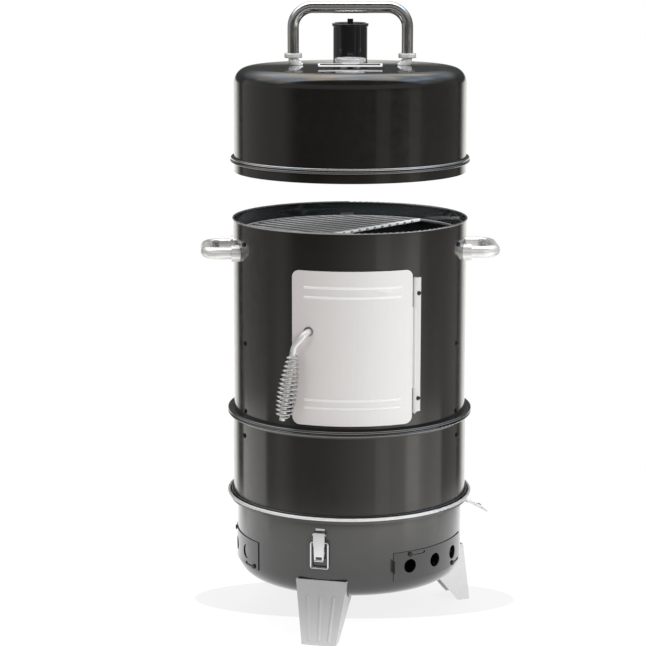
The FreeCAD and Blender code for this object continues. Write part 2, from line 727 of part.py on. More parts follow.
def coil_grip():
    """The spring-wire grip as one grooved barrel round the rod."""
    top, bottom = coil_axis()
    pitch = COIL_LENGTH / COIL_TURNS
    bore = LATCH_ROD_RADIUS + 0.3

    def barrel(share):
        swell = max(0.0, math.sin(math.pi * share ** 1.25))
        return 9.0 + 6.2 * swell ** 0.8 + 1.8 * share

    steps = [(barrel(0) - 1.6, 0)]
    for turn in range(COIL_TURNS):
        start = turn * pitch
        crest = barrel((turn + 0.5) / COIL_TURNS)
        last = barrel((turn + 1) / COIL_TURNS) - 1.6
        steps.append(((crest, start + pitch / 2), (last, start + pitch)))
    steps.append((bore, COIL_LENGTH))
    grip = revolved((bore, 0), *steps)
    grip.Placement = FreeCAD.Placement(top, FreeCAD.Rotation(V(0, 0, 1), bottom - top))
    return at_latch(grip)


def door_latch_tongue():
    """A flat tongue behind the door, on the end of the rod."""
    inner = -195.2
    plate = Part.makeBox(12.0, 2.0, 36.0, V(-6.0, -197.2, LATCH_ROD_HEIGHT - 30.0))
    plate = plate.cut(rod(LATCH_ROD_RADIUS, V(0, inner + 1, LATCH_ROD_HEIGHT),
                          V(0, -198.0, LATCH_ROD_HEIGHT)))
    return at_latch(plate)


# ---- side handles ----------------------------------------------------------
def side_handle_axes():
    """Inner and outer ends of each handle screw."""
    for azimuth in HANDLE_AZIMUTHS.values():
        for side in (-HANDLE_HALF_SPAN, HANDLE_HALF_SPAN):
            inner = turned(Part.Vertex(V(side, -187.5, HANDLE_HEIGHT)), azimuth).Point
            outer = turned(Part.Vertex(V(side, -214.0, HANDLE_HEIGHT)), azimuth).Point
            yield inner, outer


def side_handle(azimuth):
    face = -HANDLE_COLLAR_FACE - 0.02
    span = HANDLE_HALF_SPAN
    points = [V(-span, face, HANDLE_HEIGHT), V(-span, -HANDLE_REACH, HANDLE_HEIGHT),
              V(span, -HANDLE_REACH, HANDLE_HEIGHT), V(span, face, HANDLE_HEIGHT)]
    return turned(bent_tube(points, HANDLE_TUBE, 1.5, 24.0), azimuth)


def side_handle_collars():
    """Rings against the wall, each with a threaded plug inside the tube."""
    collars = []
    wall = Part.makeCylinder(UPPER_RADIUS + 0.05, 100, V(0, 0, HANDLE_HEIGHT - 50))
    for side in (-HANDLE_HALF_SPAN, HANDLE_HALF_SPAN):
        ring = rod(14.6, V(side, -185.0, HANDLE_HEIGHT), V(side, -HANDLE_COLLAR_FACE, HANDLE_HEIGHT))
        plug = rod(HANDLE_TUBE - 1.6, V(side, -HANDLE_COLLAR_FACE + 1, HANDLE_HEIGHT),
                   V(side, -HANDLE_COLLAR_FACE - 7.5, HANDLE_HEIGHT))
        bore = rod(3.05, V(side, -180.0, HANDLE_HEIGHT), V(side, -215.0, HANDLE_HEIGHT))
        collar = join(ring.cut(wall), plug).cut(bore)
        for azimuth in HANDLE_AZIMUTHS.values():
            collars.append(turned(collar, azimuth))
    return collars


def side_handle_screws():
    screws = []
    for inner, outer in side_handle_axes():
        direction = (outer - inner).normalize()
        head_top = inner + direction * 3.4
        head = rod(5.0, inner, head_top)
        screws.append(join(head, rod(3.0, inner + direction, outer)))
    return screws


# ---- grates and pans -----------------------------------------------------
def round_grate(radius, ring_wire, rod_wire, pitch, height, open_half=False):
    """A wire ring with a bar across its middle and rods at right angles to the bar.

    With open_half the rods cover one side only and end just past the bar.
    """
    ring = Part.makeTorus(radius, ring_wire, V(0, 0, height))
    pieces = [rod(rod_wire + 0.9, V(-radius, 0, height), V(radius, 0, height))]
    count = int((radius - 8.0) / pitch)
    for k in range(-count, count + 1):
        offset = k * pitch
        reach = math.sqrt(radius ** 2 - offset ** 2)
        start = -6.0 if open_half else -reach
        pieces.append(rod(rod_wire, V(offset, start, height), V(offset, reach, height)))
    grate = join(ring, *pieces)
    grate.rotate(V(0, 0, 0), V(0, 0, 1), GRATE_TURN)
    return grate


def upper_grate():
    height = UPPER_BOLT_HEIGHT + GRATE_ABOVE_BOLT
    return round_grate(194.5, 2.5, 2.2, 21.0, height, open_half=True)


def lower_grate():
    return round_grate(191.5, 2.5, 1.9, 17.5, LOWER_BOLT_HEIGHT + GRATE_ABOVE_BOLT)


def charcoal_grate():
    return round_grate(172.0, 3.0, 2.4, 24.0, CHARCOAL_GRATE_HEIGHT)


def charcoal_brackets():
    """Angle brackets welded inside the bowl under the charcoal grate."""
    outer = BOWL_RADIUS - SHEET
    ledge = CHARCOAL_GRATE_HEIGHT - 3.0 - GAP
    brackets = []
    for azimuth in (-30.0, 90.0, 210.0):
        back = shell_piece(outer - 2.0, outer, ledge - 18.0, ledge, azimuth - 4, azimuth + 4)
        tongue = shell_piece(162.0, outer, ledge - 2.0, ledge, azimuth - 4, azimuth + 4)
        brackets.append(join(back, tongue))
    return brackets


def water_pan():
    """A bowl that hangs by its rim on the straps."""
    rim_bottom = 388.0 + GAP
    sheet = 1.4
    rim = PAN_RIM_RADIUS
    wall_top = 180.0
    wall_foot = 158.0
    floor = rim_bottom - PAN_DEPTH
    pan = revolved((0, floor), (wall_foot - 14, floor),
                   ((wall_foot - 4.5, floor + 4.0), (wall_foot, floor + 14)),
                   (wall_top, rim_bottom), (rim, rim_bottom), (rim, rim_bottom + sheet),
                   (wall_top - sheet, rim_bottom + sheet), (wall_foot - sheet, floor + 14),
                   ((wall_foot - 5.6, floor + 5.1), (wall_foot - 14, floor + sheet)),
                   (0, floor + sheet))
    roll = Part.makeTorus(rim - 0.6, 1.5, V(0, 0, rim_bottom + 1.5))
    return join(pan, roll)


# ---- lid --------------------------------------------------------------------
LID_SEAT = RIM_HEIGHT + GAP + LID_LIFT
LID_TOP = LID_SEAT + LID_WALL + LID_SHOULDER + LID_RISE


def crown_height(radius):
    """Height of the lid's top: a flat middle, then a very shallow cone to the shoulder."""
    edge = LID_RADIUS - LID_SHOULDER
    share = max(0.0, radius - LID_FLAT) / (edge - LID_FLAT)
    return LID_TOP - LID_RISE * share


def above_lid(nearest):
    """Where a level foot can stand whose nearest point is this far from the lid's axis."""
    return crown_height(nearest) + 0.05


def below_lid(farthest):
    """Where a level head can sit under the lid that reaches this far from its axis."""
    return crown_height(farthest) - SHEET - 0.05


def lid_shell():
    outer = LID_RADIUS
    inner = LID_RADIUS - SHEET
    shoulder = LID_SEAT + LID_WALL
    edge = outer - LID_SHOULDER
    edge_height = shoulder + LID_SHOULDER
    diagonal = math.sqrt(0.5)
    inner_bend = LID_SHOULDER - SHEET
    outer_mid = (edge + LID_SHOULDER * diagonal, shoulder + LID_SHOULDER * diagonal)
    inner_mid = (edge + inner_bend * diagonal, shoulder + inner_bend * diagonal)
    shell = revolved((inner, LID_SEAT - LID_SKIRT), (outer, LID_SEAT - LID_SKIRT),
                     (outer, shoulder), (outer_mid, (edge, edge_height)), (LID_FLAT, LID_TOP),
                     (0, LID_TOP), (0, LID_TOP - SHEET), (LID_FLAT, LID_TOP - SHEET),
                     (edge, edge_height - SHEET), (inner_mid, (inner, shoulder)))
    beads = [bead(inner + 0.5, LID_BEAD_RADIUS, LID_SEAT + 2.1, 2.1),
             bead(inner + 0.5, LID_BEAD_RADIUS - 0.9, LID_SEAT + 7.4, 2.1)]
    body = join(shell, *beads)
    low = V(0, 0, LID_TOP - 12)
    high = V(0, 0, LID_TOP + 8)
    stack = V(0, STACK_SET_BACK, 0)
    gauge = V(0, -GAUGE_FORWARD, 0)
    cuts = [rod(STACK_RADIUS + 0.2, stack + low, stack + high),
            rod(4.1, gauge + low, gauge + high)]
    for side in (-1, 1):
        screw = V(side * LID_FOOT_SPAN, 0, 0)
        cuts.append(rod(3.05, screw + low, screw + high))
    return body.cut(cuts)


def lid_collar_middle():
    return LID_SEAT + LID_COLLAR_HEIGHT


def lid_handle():
    """An upside-down U of polished tube that stands on the two collars."""
    span = LID_HANDLE_HALF_SPAN
    foot = lid_collar_middle() + 4.02
    bar = LID_SEAT + LID_BAR_HEIGHT
    points = [V(-span, 0, foot), V(-span, 0, bar), V(span, 0, bar), V(span, 0, foot)]
    return bent_tube(points, LID_HANDLE_TUBE, 1.5, LID_HANDLE_BEND)


def lid_handle_collars():
    collars = []
    for side in (-1, 1):
        low = V(side * LID_HANDLE_HALF_SPAN, 0, lid_collar_middle() - 4)
        high = low + V(0, 0, 8)
        ring = rod(15.5, low, high)
        edges = [edge for edge in ring.Edges if edge.Closed]
        ring = ring.makeFillet(2.0, edges)
        collars.append(ring.cut(rod(8.05, low - V(0, 0, 1), high + V(0, 0, 1))))
    return collars


def lid_handle_feet():
    """Angled feet between the lid and the collars, each with a plug in the tube."""
    feet = []
    cover = Part.makeCylinder(150, 30, V(0, 0, LID_TOP - 30))
    for side in (-1, 1):
        collar_bottom = lid_collar_middle() - 4
        top = V(side * LID_HANDLE_HALF_SPAN, 0, collar_bottom - 5.5)
        base = V(side * LID_FOOT_SPAN, 0, LID_TOP - 1.0)
        toward = (base - top).normalize()
        stub = rod(8.4, top, base + toward * 6.0)
        knee = Part.makeSphere(8.4, top)
        cap = rod(8.4, top, V(top.x, 0, collar_bottom - 0.02))
        plug = rod(8.0, top, top + V(0, 0, 22.0))
        foot = join(stub, knee, cap, plug)
        level = above_lid(LID_FOOT_SPAN - 12.0)
        below = Part.makeBox(60, 60, 40, V(base.x - 30, -30, level - 40))
        bore = rod(2.55, V(base.x, 0, level - 5), V(base.x, 0, level + 7))
        feet.append(foot.cut([below, bore]))
    return feet


def lid_handle_screws():
    screws = []
    for side in (-1, 1):
        x = side * LID_FOOT_SPAN
        under = below_lid(LID_FOOT_SPAN + 5.0)
        head = rod(5.0, V(x, 0, under - 3.0), V(x, 0, under))
        screws.append(join(head, rod(2.5, V(x, 0, under - 1), V(x, 0, under + 8.0))))
    return screws


def stack_holes(bottom, top):
    centre = V(0, STACK_SET_BACK, 0)
    holes = []
    for k in range(3):
        angle = math.radians(90 + 120 * k)
        place = centre + V(math.cos(angle), math.sin(angle), 0) * STACK_HOLE_CIRCLE
        holes.append(rod(STACK_HOLE_RADIUS, place + V(0, 0, bottom), place + V(0, 0, top)))
    return holes


def smoke_stack():
    """A short chimney with a flange under the lid and a drilled top."""
    centre = V(0, STACK_SET_BACK, 0)
    top = LID_SEAT + STACK_HEIGHT
    flange_top = below_lid(STACK_SET_BACK + 38.0)
    outside = rod(STACK_RADIUS, centre + V(0, 0, flange_top - 1.5), centre + V(0, 0, top))
    flange = rod(38.0, centre + V(0, 0, flange_top - 1.5), centre + V(0, 0, flange_top))
    collar = rod(STACK_RADIUS + 2.0, centre + V(0, 0, top - 5.0), centre + V(0, 0, top))
    crown = [edge for edge in collar.Edges if edge.Closed]
    collar = collar.makeFillet(1.2, crown)
    hollow = rod(STACK_RADIUS - SHEET, centre + V(0, 0, flange_top - 3), centre + V(0, 0, top - SHEET))
    shape = join(outside, flange, collar).cut(hollow)
    pivot = rod(2.05, centre + V(0, 0, top - 5), centre + V(0, 0, top + 5))
    return shape.cut(stack_holes(top - 5, top + 5) + [pivot])


def stack_damper():
    """A drilled disc that turns on top of the smoke stack."""
    centre = V(0, STACK_SET_BACK, 0)
    bottom = LID_SEAT + STACK_HEIGHT + GAP
    disc = rod(27.5, centre + V(0, 0, bottom), centre + V(0, 0, bottom + 1.2))
    tab = Part.makeBox(10.0, 1.2, 9.0, V(-5.0, STACK_SET_BACK - 27.0, bottom))
    shape = join(disc, tab)
    pivot = rod(2.08, centre + V(0, 0, bottom - 2), centre + V(0, 0, bottom + 5))
    return shape.cut(stack_holes(bottom - 2, bottom + 5) + [pivot])


def stack_rivet():
    centre = V(0, STACK_SET_BACK, 0)
    top = LID_SEAT + STACK_HEIGHT
    return pan_screw(centre + V(0, 0, top - 4), centre + V(0, 0, top + GAP + 1.2 + GAP), 2.0, 4.0, 1.6)


# ---- thermometer and plain plate --------------------------------------------
GAUGE_PLATE_BOTTOM = LID_TOP + 3.5
GAUGE_CASE_BOTTOM = GAUGE_PLATE_BOTTOM + 2.0
GAUGE_CASE_TOP = GAUGE_CASE_BOTTOM + 7.5


def gauge_rod(radius, bottom, top):
    return rod(radius, V(0, -GAUGE_FORWARD, bottom), V(0, -GAUGE_FORWARD, top))


def thermometer_spacer():
    level = above_lid(GAUGE_FORWARD - 17.0)
    ring = gauge_rod(17.0, level, GAUGE_PLATE_BOTTOM - 0.02)
    return ring.cut(gauge_rod(4.1, level - 1, GAUGE_PLATE_BOTTOM + 1))


def front_plate():
    """A plain curved-edge plate in front of the thermometer, held by its stem."""
    bottom = GAUGE_PLATE_BOTTOM
    bar = Part.makeBox(108.0, 21.0, 2.0, V(-54.0, -84.0, bottom))
    corners = [edge for edge in bar.Edges
               if abs(edge.tangentAt(edge.FirstParameter).z) > 0.99]
    bar = bar.makeFillet(3.0, corners)
    bar.rotate(V(0, -63.0, bottom), V(1, 0, 0), 6)
    tongue = Part.makeBox(26.0, 35.0, 2.0, V(-13.0, -70.0, bottom))
    disc = gauge_rod(13.0, bottom, bottom + 2.0)
    return join(bar, tongue, disc).cut(gauge_rod(4.1, bottom - 1, bottom + 3))


def thermometer_case():
    case = gauge_rod(GAUGE_RADIUS, GAUGE_CASE_BOTTOM, GAUGE_CASE_TOP)
    rims = [edge for edge in case.Edges
            if edge.Closed and edge.CenterOfMass.z > GAUGE_CASE_TOP - 0.1]
    case = case.makeFillet(1.8, rims)
    recess = gauge_rod(22.5, GAUGE_CASE_BOTTOM + 1.6, GAUGE_CASE_TOP + 1)
    stem = gauge_rod(4.0, LID_TOP - 62.0, GAUGE_CASE_BOTTOM + 1.0)
    post = gauge_rod(0.8, GAUGE_CASE_BOTTOM + 1.0, GAUGE_CASE_BOTTOM + 4.4)
    return join(case.cut(recess), stem, post)


def thermometer_dial():
    bottom = GAUGE_CASE_BOTTOM + 1.6
    return gauge_rod(22.4, bottom, bottom + 0.6).cut(gauge_rod(1.2, bottom - 1, bottom + 2))


def thermometer_needle():
    bottom = GAUGE_CASE_BOTTOM + 2.9
    hub = gauge_rod(2.4, bottom, bottom + 0.8)
    pointer = Part.Face(Part.makePolygon([
        V(-1.1, -GAUGE_FORWARD - 6, bottom), V(1.1, -GAUGE_FORWARD - 6, bottom),
        V(0.35, -GAUGE_FORWARD + 18, bottom), V(-0.35, -GAUGE_FORWARD + 18, bottom),
        V(-1.1, -GAUGE_FORWARD - 6, bottom)])).extrude(V(0, 0, 0.8))
    return join(hub, pointer).cut(gauge_rod(0.84, bottom - 1, bottom + 2))


def thermometer_glass():
    return gauge_rod(22.4, GAUGE_CASE_TOP - 2.4, GAUGE_CASE_TOP - 1.2)


def thermometer_nut():
    top = below_lid(GAUGE_FORWARD + 9.9)
    start = V(0, -GAUGE_FORWARD, top - 6.0)
    end = V(0, -GAUGE_FORWARD, top)
    return nut(17.0, start, end, 4.05)


# ---- the whole smoker -------------------------------------------------------
def main():
    save("base_bowl", base_bowl())
    for name, azimuth in LEG_AZIMUTHS.items():
        save(name, turned(leg(), azimuth))
    save("leg_bolts", *leg_bolts())
    save("leg_nuts", *leg_nuts())
    for index, name in enumerate(DAMPER_NAMES):
        save(name, damper(index))
    save("damper_screws", *damper_screws())
    save("latch_plates", *[latch_plate(name) for name in LATCH_NAMES])
    save("latch_pins", *[latch_pin(name) for name in LATCH_NAMES])
    save("latch_rivets", *latch_rivets())
    for name in LATCH_NAMES:
        save("latch_lever_" + name, latch_lever(name))
        save("latch_bail_" + name, latch_bail(name))

    save("lower_body", lower_body())
    save("upper_body", upper_body())
    save("grate_brackets", *grate_brackets())
    save("section_straps", *section_straps())
    save("body_bolts", *body_bolts())
    save("body_nuts", *body_nuts())
    save("side_handle_left", side_handle(HANDLE_AZIMUTHS["left"]))
    save("side_handle_right", side_handle(HANDLE_AZIMUTHS["right"]))
    save("side_handle_collars", *side_handle_collars())
    save("side_handle_screws", *side_handle_screws())

    save("hinge_leaf", hinge_leaf())
    save("hinge_pin", hinge_pin())
    save("hinge_screws", *hinge_screws())
    save("door", door())
    save("latch_washer", latch_washer())
    save("door_latch_rod", door_latch_rod())
    save("coil_grip", coil_grip())
    save("door_latch_tongue", door_latch_tongue())

    save("charcoal_brackets", *charcoal_brackets())
    save("charcoal_grate", charcoal_grate())
    save("water_pan", water_pan())
    save("lower_grate", lower_grate())
    save("upper_grate", upper_grate())

    save("lid_shell", lid_shell())
    save("lid_handle", lid_handle())
    save("lid_handle_collars", *lid_handle_collars())
    save("lid_handle_feet", *lid_handle_feet())
    save("lid_handle_screws", *lid_handle_screws())
    save("smoke_stack", smoke_stack())
    save("stack_damper", stack_damper())
    save("stack_rivet", stack_rivet())
    save("thermometer_spacer", thermometer_spacer())
    save("front_plate", front_plate())
    save("thermometer_case", thermometer_case())
    save("thermometer_dial", thermometer_dial())
    save("thermometer_needle", thermometer_needle())
    save("thermometer_glass", thermometer_glass())
    save("thermometer_nut", thermometer_nut())


main()
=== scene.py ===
import math

import bpy
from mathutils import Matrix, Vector


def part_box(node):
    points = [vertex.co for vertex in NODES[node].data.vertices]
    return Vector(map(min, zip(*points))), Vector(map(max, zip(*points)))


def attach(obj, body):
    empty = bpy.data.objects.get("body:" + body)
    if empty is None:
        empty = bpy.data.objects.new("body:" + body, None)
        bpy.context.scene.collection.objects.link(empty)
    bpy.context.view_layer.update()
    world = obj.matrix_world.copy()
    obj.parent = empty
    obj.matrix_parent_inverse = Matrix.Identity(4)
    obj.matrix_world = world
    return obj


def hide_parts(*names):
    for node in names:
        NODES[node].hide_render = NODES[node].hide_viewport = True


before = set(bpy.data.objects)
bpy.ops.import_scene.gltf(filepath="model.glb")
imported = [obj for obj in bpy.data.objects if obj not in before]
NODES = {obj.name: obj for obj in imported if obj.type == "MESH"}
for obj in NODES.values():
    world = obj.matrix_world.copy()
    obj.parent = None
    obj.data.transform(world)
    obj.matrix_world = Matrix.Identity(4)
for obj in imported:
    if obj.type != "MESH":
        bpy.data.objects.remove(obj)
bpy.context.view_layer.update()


# ---- camera ---------------------------------------------------------------
camera_data = bpy.data.cameras.new("camera")
camera = bpy.data.objects.new("camera", camera_data)
bpy.context.scene.collection.objects.link(camera)
camera.location = (0.0, -3.70, 1.215)
camera.rotation_euler = (math.radians(90.0 - 10.7), 0.0, math.radians(0.72))
camera_data.sensor_width = 36.0
camera_data.lens = 120.1
camera_data.clip_start = 0.05
camera_data.clip_end = 60.0
bpy.context.scene.camera = camera
bpy.context.scene.view_settings.view_transform = "Standard"


# ---- shader helpers ---------------------------------------------------------
class Shader:
    """One material with a Principled surface and a few ways to vary it."""

    def __init__(self, name, base=None, roughness=0.5, metallic=0.0, **sockets):
        self.material = bpy.data.materials.new(name)
        self.material.use_nodes = True
        self.tree = self.material.node_tree
        self.surface = self.tree.nodes["Principled BSDF"]
        if base:
            self.surface.inputs["Base Color"].default_value = (*base, 1.0)
        self.surface.inputs["Roughness"].default_value = roughness
        self.surface.inputs["Metallic"].default_value = metallic
        for socket, value in sockets.items():
            self.surface.inputs[socket.replace("_", " ")].default_value = value
        self.place = self.node("ShaderNodeTexCoord").outputs["Object"]

    def node(self, kind, **settings):
        node = self.tree.nodes.new(kind)
        for key, value in settings.items():
            setattr(node, key, value)
        return node

    def link(self, output, socket):
        self.tree.links.new(output, socket)

    def scaled(self, scale):
        mapping = self.node("ShaderNodeMapping")
        mapping.inputs["Scale"].default_value = scale
        self.link(self.place, mapping.inputs["Vector"])
        return mapping.outputs["Vector"]

    def noise(self, scale, detail=3.0, stretch=(1.0, 1.0, 1.0), rough=0.5):
        noise = self.node("ShaderNodeTexNoise")
        noise.inputs["Scale"].default_value = scale
        noise.inputs["Detail"].default_value = detail
        noise.inputs["Roughness"].default_value = rough
        self.link(self.scaled(stretch), noise.inputs["Vector"])
        return noise.outputs["Fac"]

    def spread(self, value, low, high, from_low=0.3, from_high=0.7, smooth=False):
        ranged = self.node("ShaderNodeMapRange")
        if smooth:
            ranged.interpolation_type = "SMOOTHSTEP"
        self.link(value, ranged.inputs["Value"])
        ranged.inputs["From Min"].default_value = from_low
        ranged.inputs["From Max"].default_value = from_high
        ranged.inputs["To Min"].default_value = low
        ranged.inputs["To Max"].default_value = high
        return ranged.outputs["Result"]

    def math(self, operation, first, second):
        node = self.node("ShaderNodeMath", operation=operation)
        for socket, value in zip(node.inputs, (first, second)):
            if isinstance(value, (int, float)):
                socket.default_value = value
            else:
                self.link(value, socket)
        return node.outputs["Value"]

    def mix(self, share, first, second):
        mix = self.node("ShaderNodeMix", data_type="RGBA")
        self.link(share, mix.inputs["Factor"])
        for socket, value in ((mix.inputs[6], first), (mix.inputs[7], second)):
            if isinstance(value, tuple):
                socket.default_value = (*value, 1.0)
            else:
                self.link(value, socket)
        return mix.outputs[2]

    def axis(self, name):
        """One coordinate of the place on the object, in metres."""
        split = self.node("ShaderNodeSeparateXYZ")
        self.link(self.place, split.inputs[0])
        return split.outputs[name]

    def from_axis(self):
        """Distance from the object's upright axis, in metres."""
        flat = self.node("ShaderNodeVectorMath", operation="MULTIPLY")
        self.link(self.place, flat.inputs[0])
        flat.inputs[1].default_value = (1.0, 1.0, 0.0)
        length = self.node("ShaderNodeVectorMath", operation="LENGTH")
        self.link(flat.outputs["Vector"], length.inputs[0])
        return length.outputs["Value"]

    def along(self, direction):
        """How far the place on the object lies from its upright axis in one direction."""
        product = self.node("ShaderNodeVectorMath", operation="DOT_PRODUCT")
        self.link(self.place, product.inputs[0])
        product.inputs[1].default_value = direction
        return product.outputs["Value"]

    def between(self, value, low, high, soft=0.0002):
        """1 from low to high and 0 elsewhere, with soft edges."""
        rising = self.spread(value, 0.0, 1.0, low - soft, low + soft)
        falling = self.spread(value, 1.0, 0.0, high - soft, high + soft)
        return self.math("MULTIPLY", rising, falling)

    def upward(self, low, high):
        """0 where the surface stands upright, rising to 1 where it faces up."""
        split = self.node("ShaderNodeSeparateXYZ")
        self.link(self.node("ShaderNodeNewGeometry").outputs["Normal"], split.inputs[0])
        return self.spread(split.outputs["Z"], 0.0, 1.0, low, high)

    def colour(self, output):
        self.link(output, self.surface.inputs["Base Color"])

    def roughness(self, output):
        self.link(output, self.surface.inputs["Roughness"])

    def bump(self, *layers):
        """Each layer is (height output, depth in metres, strength)."""
        normal = None
        for height, depth, strength in layers:
            bump = self.node("ShaderNodeBump")
            bump.inputs["Distance"].default_value = depth
            bump.inputs["Strength"].default_value = strength
            self.link(height, bump.inputs["Height"])
            if normal:
                self.link(normal, bump.inputs["Normal"])
            normal = bump.outputs["Normal"]
        self.link(normal, self.surface.inputs["Normal"])
        if self.surface.inputs["Coat Weight"].default_value > 0:
            self.link(normal, self.surface.inputs["Coat Normal"])


def enamel(name, dark, light, coat=1.0, low=0.14, high=0.26):
    """Fired enamel on sheet steel: orange peel, slow waves and a deep gloss."""
    shader = Shader(name, dark, Coat_Weight=coat, Coat_Roughness=0.03, Coat_IOR=1.5)
    cloud = shader.spread(shader.noise(5.0, 4.0), 0.0, 1.0)
    speck = shader.spread(shader.noise(900.0, 1.0), 0.0, 0.35, 0.62, 0.80)
    tone = shader.mix(cloud, dark, light)
    shader.colour(shader.mix(speck, tone, tuple(3.0 * c for c in light)))
    shader.roughness(shader.spread(shader.noise(60.0, 5.0), low, high))
    peel = shader.noise(420.0, 2.0)
    waves = shader.noise(6.0, 1.0, (1.0, 1.0, 0.35))
    shader.bump((waves, 0.0010, 0.22), (peel, 0.00008, 0.18))
    return shader


def polished(name, base, low, high, grain=(1.0, 1.0, 1.0)):
    """Polished or plated metal with faint rubbing marks."""
    shader = Shader(name, base, metallic=1.0)
    tone = shader.spread(shader.noise(35.0, 5.0), 0.0, 1.0)
    shader.colour(shader.mix(tone, tuple(0.86 * c for c in base), base))
    marks = shader.noise(260.0, 4.0, grain, 0.6)
    shader.roughness(shader.spread(marks, low, high))
    shader.bump((marks, 0.00008, 0.20))
    return shader


def satin_sheet(name, cool, warm, low, high, metallic, grain):
    """Satin sheet metal: fine grain one way, slow changes of tone, light scuffs."""
    shader = Shader(name, cool, metallic=metallic, Anisotropic=0.35)
    slow = shader.spread(shader.noise(4.5, 2.0), 0.0, 1.0)
    fine = shader.noise(240.0, 4.0, grain, 0.65)
    tone = shader.mix(slow, cool, warm)
    darker = tuple(0.93 * c for c in cool)
    shader.colour(shader.mix(shader.spread(fine, 0.0, 0.4), tone, darker))
    scuff = shader.spread(shader.noise(55.0, 6.0, rough=0.7), low, high)
    shader.roughness(scuff)
    shader.bump((fine, 0.00006, 0.14), (shader.noise(12.0, 1.0), 0.0006, 0.10))
    return shader


# Used below for the thing's own tones and for painted highlights, painted reflections and painted
# shade.
def change_finish_where(shader, mask, colour, metal=0.0, rough=0.0):
    """Change the finish where the mask is 1: its colour, how metallic and how rough it is.

    An amount is added to what the socket was linked to, and replaces a plain number there.
    """
    surface = shader.surface.inputs
    before = surface["Base Color"].links[0].from_socket
    shader.colour(shader.mix(mask, before, colour))
    for socket, amount in (("Metallic", metal), ("Roughness", rough)):
        if amount:
            value = shader.math("MULTIPLY", mask, amount)
            if surface[socket].links:
                value = shader.math("ADD", value, surface[socket].links[0].from_socket)
            shader.link(value, surface[socket])


def bright_rim_band(shader, box):
    """A bright, partly metallic band on the rolled rim at the top of an enamelled bowl."""
    lowest = box[1][2] - 0.0059
    inner = box[1][0] - 0.0061
    soft = 0.0003
    high = shader.spread(shader.axis("Z"), 0.0, 1.0, lowest - soft, lowest + soft)
    wide = shader.spread(shader.from_axis(), 0.0, 1.0, inner - soft, inner + soft)
    tone_patches = shader.spread(shader.noise(140.0, 4.0), 0.0, 1.0, 0.25, 0.75)
    metal = shader.mix(tone_patches, (0.67, 0.67, 0.66), (0.77, 0.77, 0.76))
    change_finish_where(shader, shader.math("MULTIPLY", high, wide), metal, 0.35, 0.14)


def bead_highlight(shader, low, high, reach, colour):
    """A painted highlight on a rolled bead, between two heights and beyond a radius: the enamel
    there is made bright and mostly metallic.
    """
    soft = 0.0003
    level = shader.between(shader.axis("Z"), low, high)
    wide = shader.spread(shader.from_axis(), 0.0, 1.0, reach - soft, reach + soft)
    change_finish_where(shader, shader.math("MULTIPLY", level, wide), colour, 0.9)


def lip_highlight_and_crease_shade(shader, top, inside):
    """A painted highlight along the top rim with painted shade in the fold under it, and a greyer
    inner face.
    """
    soft = 0.0003
    lip_depth = 0.0027
    crease_depth = 0.0050
    inner = shader.spread(shader.from_axis(), 1.0, 0.0, inside - soft, inside + soft)
    change_finish_where(shader, inner, (0.015, 0.021, 0.024), 0.0, 0.10)
    # Painted shade: the fold under the top rim is made near black.
    crease_shade = shader.between(shader.axis("Z"), top - crease_depth, top - lip_depth)
    change_finish_where(shader, crease_shade, (0.001, 0.001, 0.001), 0.0, 0.3)
    # Painted highlight: the top rim is made pale and partly metallic.
    tone_patches = shader.spread(shader.noise(90.0, 4.0), 0.0, 1.0, 0.25, 0.75)
    lip_highlight = shader.mix(tone_patches, (0.25, 0.24, 0.23), (0.36, 0.35, 0.33))
    lip_highlight_band = shader.spread(shader.axis("Z"), 0.0, 1.0, top - lip_depth, top - 0.0023)
    change_finish_where(shader, lip_highlight_band, lip_highlight, 0.25)


def rib_crest_highlight(shader, box):
    """Ribs that stand proud of a curved door, with a painted highlight along their crests."""
    panel_radius = 0.2060
    hinge_edge = box[1][0] - 0.0170
    crest = shader.spread(shader.from_axis(), 0.0, 1.0, panel_radius, panel_radius + 0.0004)
    clear = shader.spread(shader.axis("X"), 1.0, 0.0, hinge_edge, hinge_edge + 0.0010)
    change_finish_where(shader, shader.math("MULTIPLY", crest, clear), (0.91, 0.91, 0.90), 0.0, -0.05)


def edged_plate(name, box):
    """A dull black plate with a pale printed border on its top."""
    shader = Shader(name, (0.74, 0.74, 0.74), metallic=0.1, Specular_IOR_Level=0.3)
    margin = 0.0034
    face_depth = 0.0209
    across = shader.between(shader.axis("X"), box[0][0] + margin, box[1][0] - margin)
    along = shader.between(shader.axis("Y"), box[0][1] + margin, box[0][1] + face_depth - margin)
    field = shader.math("MULTIPLY", across, along)
    field = shader.math("MULTIPLY", field, shader.upward(0.6, 0.8))
    tone = shader.spread(shader.noise(180.0, 4.0, (0.1, 1.0, 1.0)), 0.0, 1.0)
    paint = shader.mix(tone, (0.86, 0.86, 0.85), (0.92, 0.92, 0.91))
    shader.colour(shader.mix(field, paint, (0.010, 0.010, 0.010)))
    marks = shader.noise(90.0, 5.0)
    shader.roughness(shader.spread(marks, 0.42, 0.60))
    shader.bump((marks, 0.00006, 0.2))
    return shader


def finish(shader, *nodes):
    for name in nodes:
        mesh = NODES[name].data
        mesh.materials.clear()
        mesh.materials.append(shader.material)


def smooth_cad(angle=32.0):
    for node in NODES.values():
        node.data.shade_smooth()
        node.data.set_sharp_from_angle(angle=math.radians(angle))


# ---- finishes ---------------------------------------------------------------
smooth_cad()

BODY_DARK = (0.0046, 0.0040, 0.0032)
BODY_LIGHT = (0.0080, 0.0070, 0.0056)
upper_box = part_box("upper_body")
upper_enamel = enamel("upper_body_enamel", BODY_DARK, BODY_LIGHT)
# Painted highlight on the mid bead.
bead_highlight(upper_enamel, upper_box[0][2] + 0.030, upper_box[0][2] + 0.050,
            upper_box[1][0] - 0.0085, (0.15, 0.15, 0.15))
# Painted highlight along the top rim and painted shade in the fold under it.
lip_highlight_and_crease_shade(upper_enamel, upper_box[1][2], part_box("grate_brackets")[1][1] + 0.0007)
finish(upper_enamel, "upper_body")

